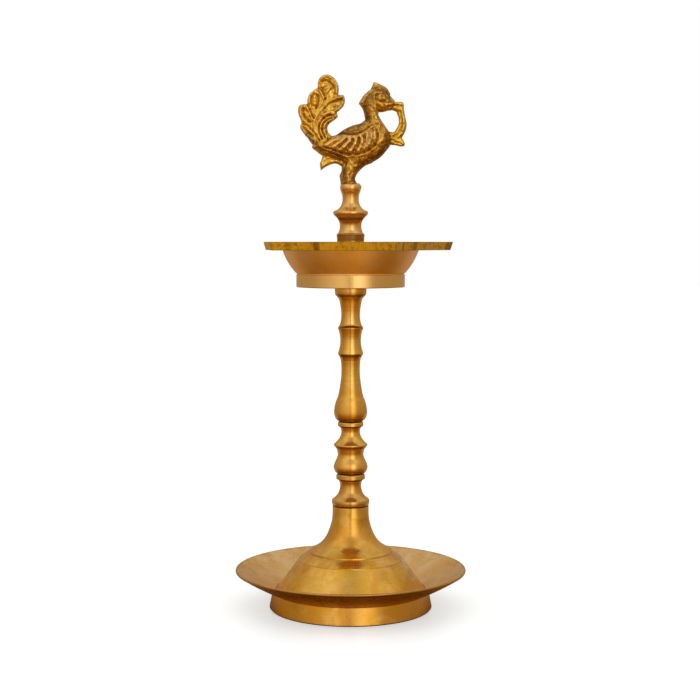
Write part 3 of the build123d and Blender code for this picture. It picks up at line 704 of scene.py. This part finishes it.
# where the bird is darker, painted shade with dark patina along the nape, crown, back, breast, tail's
# underside and legs: (line, width)
SHADE_AND_PATINA_MARKS = [
    ([(9.3, 279.0), (9.0, 284.0), (9.2, 288.0), (11.5, 292.5)], 2.6),
    ([(13.6, 296.2), (16.8, 295.8), (20.2, 294.2), (21.8, 291.8)], 1.5),
    ([(20.6, 291.4), (23.6, 288.6)], 1.2),
    ([(20.5, 270.5), (20.0, 265.0), (16.5, 260.0), (10.0, 256.2), (4.0, 252.5)], 2.6),
    ([(6.0, 276.0), (0.0, 273.6), (-6.0, 271.6)], 2.2),
    ([(-24.0, 271.0), (-19.0, 265.0), (-13.0, 261.0), (-5.0, 258.4)], 1.5),
    ([(-3.0, 250.0), (-3.6, 246.5), (-2.4, 241.5)], 2.2),
    ([(6.0, 250.5), (2.0, 247.0), (3.0, 243.5)], 1.6),
]


def bird_relief():
    """Build the half-thickness map of the whole bird, the tail first."""
    relief = Relief()
    relief.lobe(TAIL, 2.3, 1.7)
    relief.draw(TAIL_STROKES)
    for outline, thickness, width, blend in BODY_LOBES:
        relief.lobe(outline, thickness, width, blend)
    relief.raise_inside(WING, 0.55, 0.9)
    relief.draw(BODY_STROKES)
    add_cast_lumps(relief)
    return relief


def add_cast_lumps(relief):
    """Low random waves, as a sand casting has."""
    rng = np.random.default_rng(7)
    waves = np.zeros(relief.x.shape)
    for _ in range(26):
        length = rng.uniform(1.4, 5.0)
        turn, phase = rng.uniform(0, tau, 2)
        waves += length * np.sin((relief.x * cos(turn) + relief.z * sin(turn)) * tau / length + phase)
    relief.height += 0.012 * waves * np.clip(relief.height / 1.5, 0, 1)


def skin(field, low, step):
    """The surface where field is zero: a vertex in each crossed cell and a quad round each crossed edge."""
    inside = field < 0
    shape = np.array(field.shape) - 1
    corners = [np.array((i, j, k)) for i in (0, 1) for j in (0, 1) for k in (0, 1)]

    def corner(values, c):
        return values[c[0]:c[0] + shape[0], c[1]:c[1] + shape[1], c[2]:c[2] + shape[2]]

    count = sum(corner(inside, c).astype(np.int8) for c in corners)
    crossed = (count > 0) & (count < 8)
    cells = np.argwhere(crossed)
    number = np.full(shape, -1)
    number[crossed] = np.arange(len(cells))
    total = np.zeros((len(cells), 3))
    hits = np.zeros(len(cells))
    for a in corners:
        for b in corners:
            if (b - a).sum() != 1 or (b - a).min() < 0:
                continue
            at_a = field[tuple((cells + a).T)]
            at_b = field[tuple((cells + b).T)]
            cut = (at_a < 0) != (at_b < 0)
            t = at_a[cut] / (at_a[cut] - at_b[cut])
            total[cut] += a + t[:, None] * (b - a)
            hits[cut] += 1
    points = low + step * (cells + total / hits[:, None])
    faces = []
    for axis in range(3):
        along, side, up = np.roll(np.eye(3, dtype=int), -axis, axis=0)
        edges = np.argwhere(corner(inside, (0, 0, 0)) != corner(inside, along))
        edges = edges[(edges[:, (axis + 1) % 3] > 0) & (edges[:, (axis + 2) % 3] > 0)]
        ring = [number[tuple((edges - move).T)] for move in (side + up, up, (0, 0, 0), side)]
        quads = np.stack(ring, 1)
        outward = inside[tuple(edges.T)]
        quads[~outward] = quads[~outward][:, ::-1]
        faces.append(quads)
    return points, np.vstack(faces)


def mesh_object(name, points, faces, smooth=True):
    """A mesh object from points in metres and a list of faces."""
    mesh = bpy.data.meshes.new(name)
    mesh.from_pydata([tuple(p) for p in points], [], [tuple(int(i) for i in f) for f in faces])
    mesh.validate()
    if smooth:
        mesh.shade_smooth()
    obj = bpy.data.objects.new(name, mesh)
    bpy.context.scene.collection.objects.link(obj)
    return obj


def make_bird():
    """The cast bird, with the masks that its material reads."""
    relief = bird_relief()
    field = np.abs(relief.ys)[None, :, None] - relief.height[:, None, :]
    points, faces = skin(field, BIRD_LOW, BIRD_STEP)
    bird = mesh_object("bird_casting", points * MM, faces)
    column = np.round((points[:, 0] - BIRD_LOW[0]) / BIRD_STEP).astype(int)
    row = np.round((points[:, 2] - BIRD_LOW[2]) / BIRD_STEP).astype(int)
    hollow = relief.blurred(3) - np.clip(relief.height, 0, None)
    shade = np.zeros(relief.x.shape)
    for line, width in SHADE_AND_PATINA_MARKS:
        shade = np.maximum(shade, np.exp(-((relief.distance(smooth_line(line)) / width) ** 2)))
    wing = np.clip(relief.depth(WING), 0, 1)
    for name, values in (("hollow", hollow), ("shade", shade), ("wing", wing)):
        attribute = bird.data.attributes.new(name, "FLOAT", "POINT")
        attribute.data.foreach_set("value", values[column, row].astype(np.float32))
    dress(bird, cast_brass("bird_cast_brass"))
    return bird


COLLAR_OUTLINE = [(5.2, 239.5), (5.6, 239.52), (5.9, 240.0), (5.95, 241.2), (5.8, 242.4), (5.0, 243.4)]


def lathe(name, outline, turns=96):
    """Turn an outline of (radius, height) in millimetres round the lamp's axis."""
    outline = np.array(outline, float) * MM
    angles = np.arange(turns) * tau / turns
    points = [(r * cos(a), r * sin(a), z) for r, z in outline for a in angles]
    faces = []
    for ring in range(len(outline) - 1):
        for k in range(turns):
            here, there = ring * turns + k, ring * turns + (k + 1) % turns
            faces.append((here, there, there + turns, here + turns))
    faces.append(tuple(range(turns))[::-1])
    faces.append(tuple((len(outline) - 1) * turns + k for k in range(turns)))
    return mesh_object(name, points, faces)


def make_bird_collar():
    """The turned ring that the bird was chucked by, one piece with the casting."""
    collar = lathe("bird_collar", COLLAR_OUTLINE)
    dress(collar, turned_brass("bird_collar_brass", tint=BRASS_PALE, stain=0.2))
    return collar


# =========================================================================================================
# Studio
# =========================================================================================================
def make_camera():
    camera = bpy.data.objects.new("camera", bpy.data.cameras.new("camera"))
    camera.data.lens = LENS_MM
    camera.data.sensor_width = SENSOR_MM
    camera.data.clip_start = 0.01
    camera.location = (CAMERA_RIGHT, -CAMERA_DISTANCE, CAMERA_HEIGHT)
    camera.rotation_euler = (pi / 2 - CAMERA_PITCH, 0, 0)
    bpy.context.scene.collection.objects.link(camera)
    bpy.context.scene.camera = camera


def studio_stops(levels, brightest, warmth):
    """Colours round the horizon: dimmer parts of the studio are warmer."""
    stops = []
    for degrees, level in levels:
        grey = level / brightest
        warm = warmth * (1 - grey)
        stops.append((degrees, (grey, grey * (1 - GREEN_LOSS * warm), grey * (1 - BLUE_LOSS * warm))))
    return stops


def make_world():
    """A white room to look at, an even light for the table, and a shaped studio for the brass to mirror."""
    world = bpy.data.worlds.new("studio")
    bpy.context.scene.world = world
    g = Graph(world)
    axes = g.add("ShaderNodeSeparateXYZ")
    g.link(g.add("ShaderNodeTexCoord").outputs["Generated"], axes.inputs[0])
    x, y, z = axes.outputs
    degrees = g.math("MULTIPLY", g.math("ARCTAN2", x, g.math("MULTIPLY", y, -1.0)), 180 / pi)
    brightest = max(level for _, level in STUDIO)
    beside = g.ramp(degrees, -180, 180, studio_stops(STUDIO, brightest, 1.0))
    above = g.ramp(degrees, -180, 180, studio_stops(CEILING, brightest, 0.5))
    shape = g.mix(g.span(z, *CEILING_BLEND), beside, above)
    shape = g.mix(1.0, shape, g.ramp(z, -1, 1, HEIGHTS), "MULTIPLY")
    # the far side of the table, seen in what faces down and away
    low = g.math("MULTIPLY", g.span(z, *TABLE_BOTTOM), g.span(z, *TABLE_TOP))
    shape = g.mix(g.math("MULTIPLY", low, g.span(y, *TABLE_BACK)), shape, TABLE_BEHIND)
    mirrored = g.add("ShaderNodeBackground")
    mirrored.inputs["Strength"].default_value = brightest * HEIGHT_GAIN
    g.link(shape, mirrored.inputs["Color"])
    even, seen = g.add("ShaderNodeBackground"), g.add("ShaderNodeBackground")
    even.inputs["Strength"].default_value = ROOM_LIGHT
    seen.inputs["Strength"].default_value = BACKDROP_LIGHT
    for plain in (even, seen):
        plain.inputs["Color"].default_value = (1, 1, 1, 1)
    rays = g.add("ShaderNodeLightPath").outputs
    scattered, direct = g.add("ShaderNodeMixShader"), g.add("ShaderNodeMixShader")
    for choice, ray, other, one in (
        (scattered, "Is Diffuse Ray", mirrored, even),
        (direct, "Is Camera Ray", scattered, seen),
    ):
        g.link(rays[ray], choice.inputs[0])
        g.link(other.outputs[0], choice.inputs[1])
        g.link(one.outputs[0], choice.inputs[2])
    g.link(direct.outputs[0], g.add("ShaderNodeOutputWorld").inputs["Surface"])


def disc(name, radius, height):
    """A flat disc on the lamp's axis."""
    corners = [(radius * cos(a), radius * sin(a), height) for a in np.arange(DISC_SIDES) * tau / DISC_SIDES]
    return mesh_object(name, corners, [tuple(range(DISC_SIDES))], smooth=False)


def make_floor():
    """A white table that glows a little, so that it fades into the white room."""
    floor = disc("floor", FLOOR_RADIUS, -FLOOR_DROP)
    n = Nodes(bpy.data.materials.new("floor_white"))
    n.shader.inputs["Base Color"].default_value = (*FLOOR_WHITE, 1)
    n.shader.inputs["Roughness"].default_value = 0.28
    n.shader.inputs["Specular IOR Level"].default_value = 0.35
    n.shader.inputs["Emission Color"].default_value = (1, 1, 1, 1)
    n.shader.inputs["Emission Strength"].default_value = FLOOR_GLOW
    dress(floor, n)
    floor.visible_glossy = False
    floor.visible_diffuse = False


def make_table_shadow():
    """The dark patch of table under the lamp, which only its reflections and bounced light show."""
    shadow = disc("table_shadow", SHADOW_RADIUS, -2 * FLOOR_DROP)
    n = Nodes(bpy.data.materials.new("table_shadow_brown"))
    n.shader.inputs["Base Color"].default_value = (*SHADOW_BROWN, 1)
    dress(shadow, n)
    shadow.visible_camera = False


# =========================================================================================================
# Build
# =========================================================================================================
def dress_frame(nodes):
    """Materials for the CAD nodes that stay. The hidden studs share one."""
    bell = turned_brass("bell_brass", stain=0.8, age=0.04, seams=SEAMS["base_bell"], lacquer=0.30)
    # dried polish and a painted highlight on the bell's right-hand edge
    add_residue_and_highlight(bell)
    finishes = {
        "foot_ring": turned_brass("foot_brass", stain=0.9, roughness=0.20, age=0.14),
        "drip_plate": turned_brass(
            "plate_brass", stain=0.6, roughness=0.22, age=0.04, pink=0.25, worn_rim=DISH_RIM_RADIUS
        ),
        "base_bell": bell,
        "lower_stem": turned_brass("lower_stem_brass", tint=LOWER_STEM_BRASS, seams=SEAMS["lower_stem"]),
        # the spindle gets painted shade below its collar's top and in its creases
        "spindle": turned_brass(
            "spindle_brass", tint=BRASS_PALE, stain=0.4, roughness=0.22, pink=0.0,
            creases=CREASES["spindle"], shaded_below=SPINDLE_COLLAR_TOP
        ),
        "oil_pan": pan_brass("pan_brass"),
    }
    # the stems' creases get painted shade
    for name in ("middle_stem", "upper_stem"):
        finishes[name] = turned_brass(f"{name}_brass", seams=SEAMS[name], creases=CREASES[name])
    threads = turned_brass("thread_brass", stain=0.5, roughness=0.34)
    for name, obj in nodes.items():
        if name != "bird":
            dress(obj, finishes.get(name, threads))


def main():
    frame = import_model()
    scene = bpy.context.scene
    scene.view_settings.view_transform = "Standard"
    scene.cycles.caustics_reflective = False
    make_camera()
    make_world()
    make_floor()
    make_table_shadow()
    dress_frame(frame["nodes"])
    for piece in (make_bird(), make_bird_collar()):
        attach(piece, "bird")
        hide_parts("bird")


main()
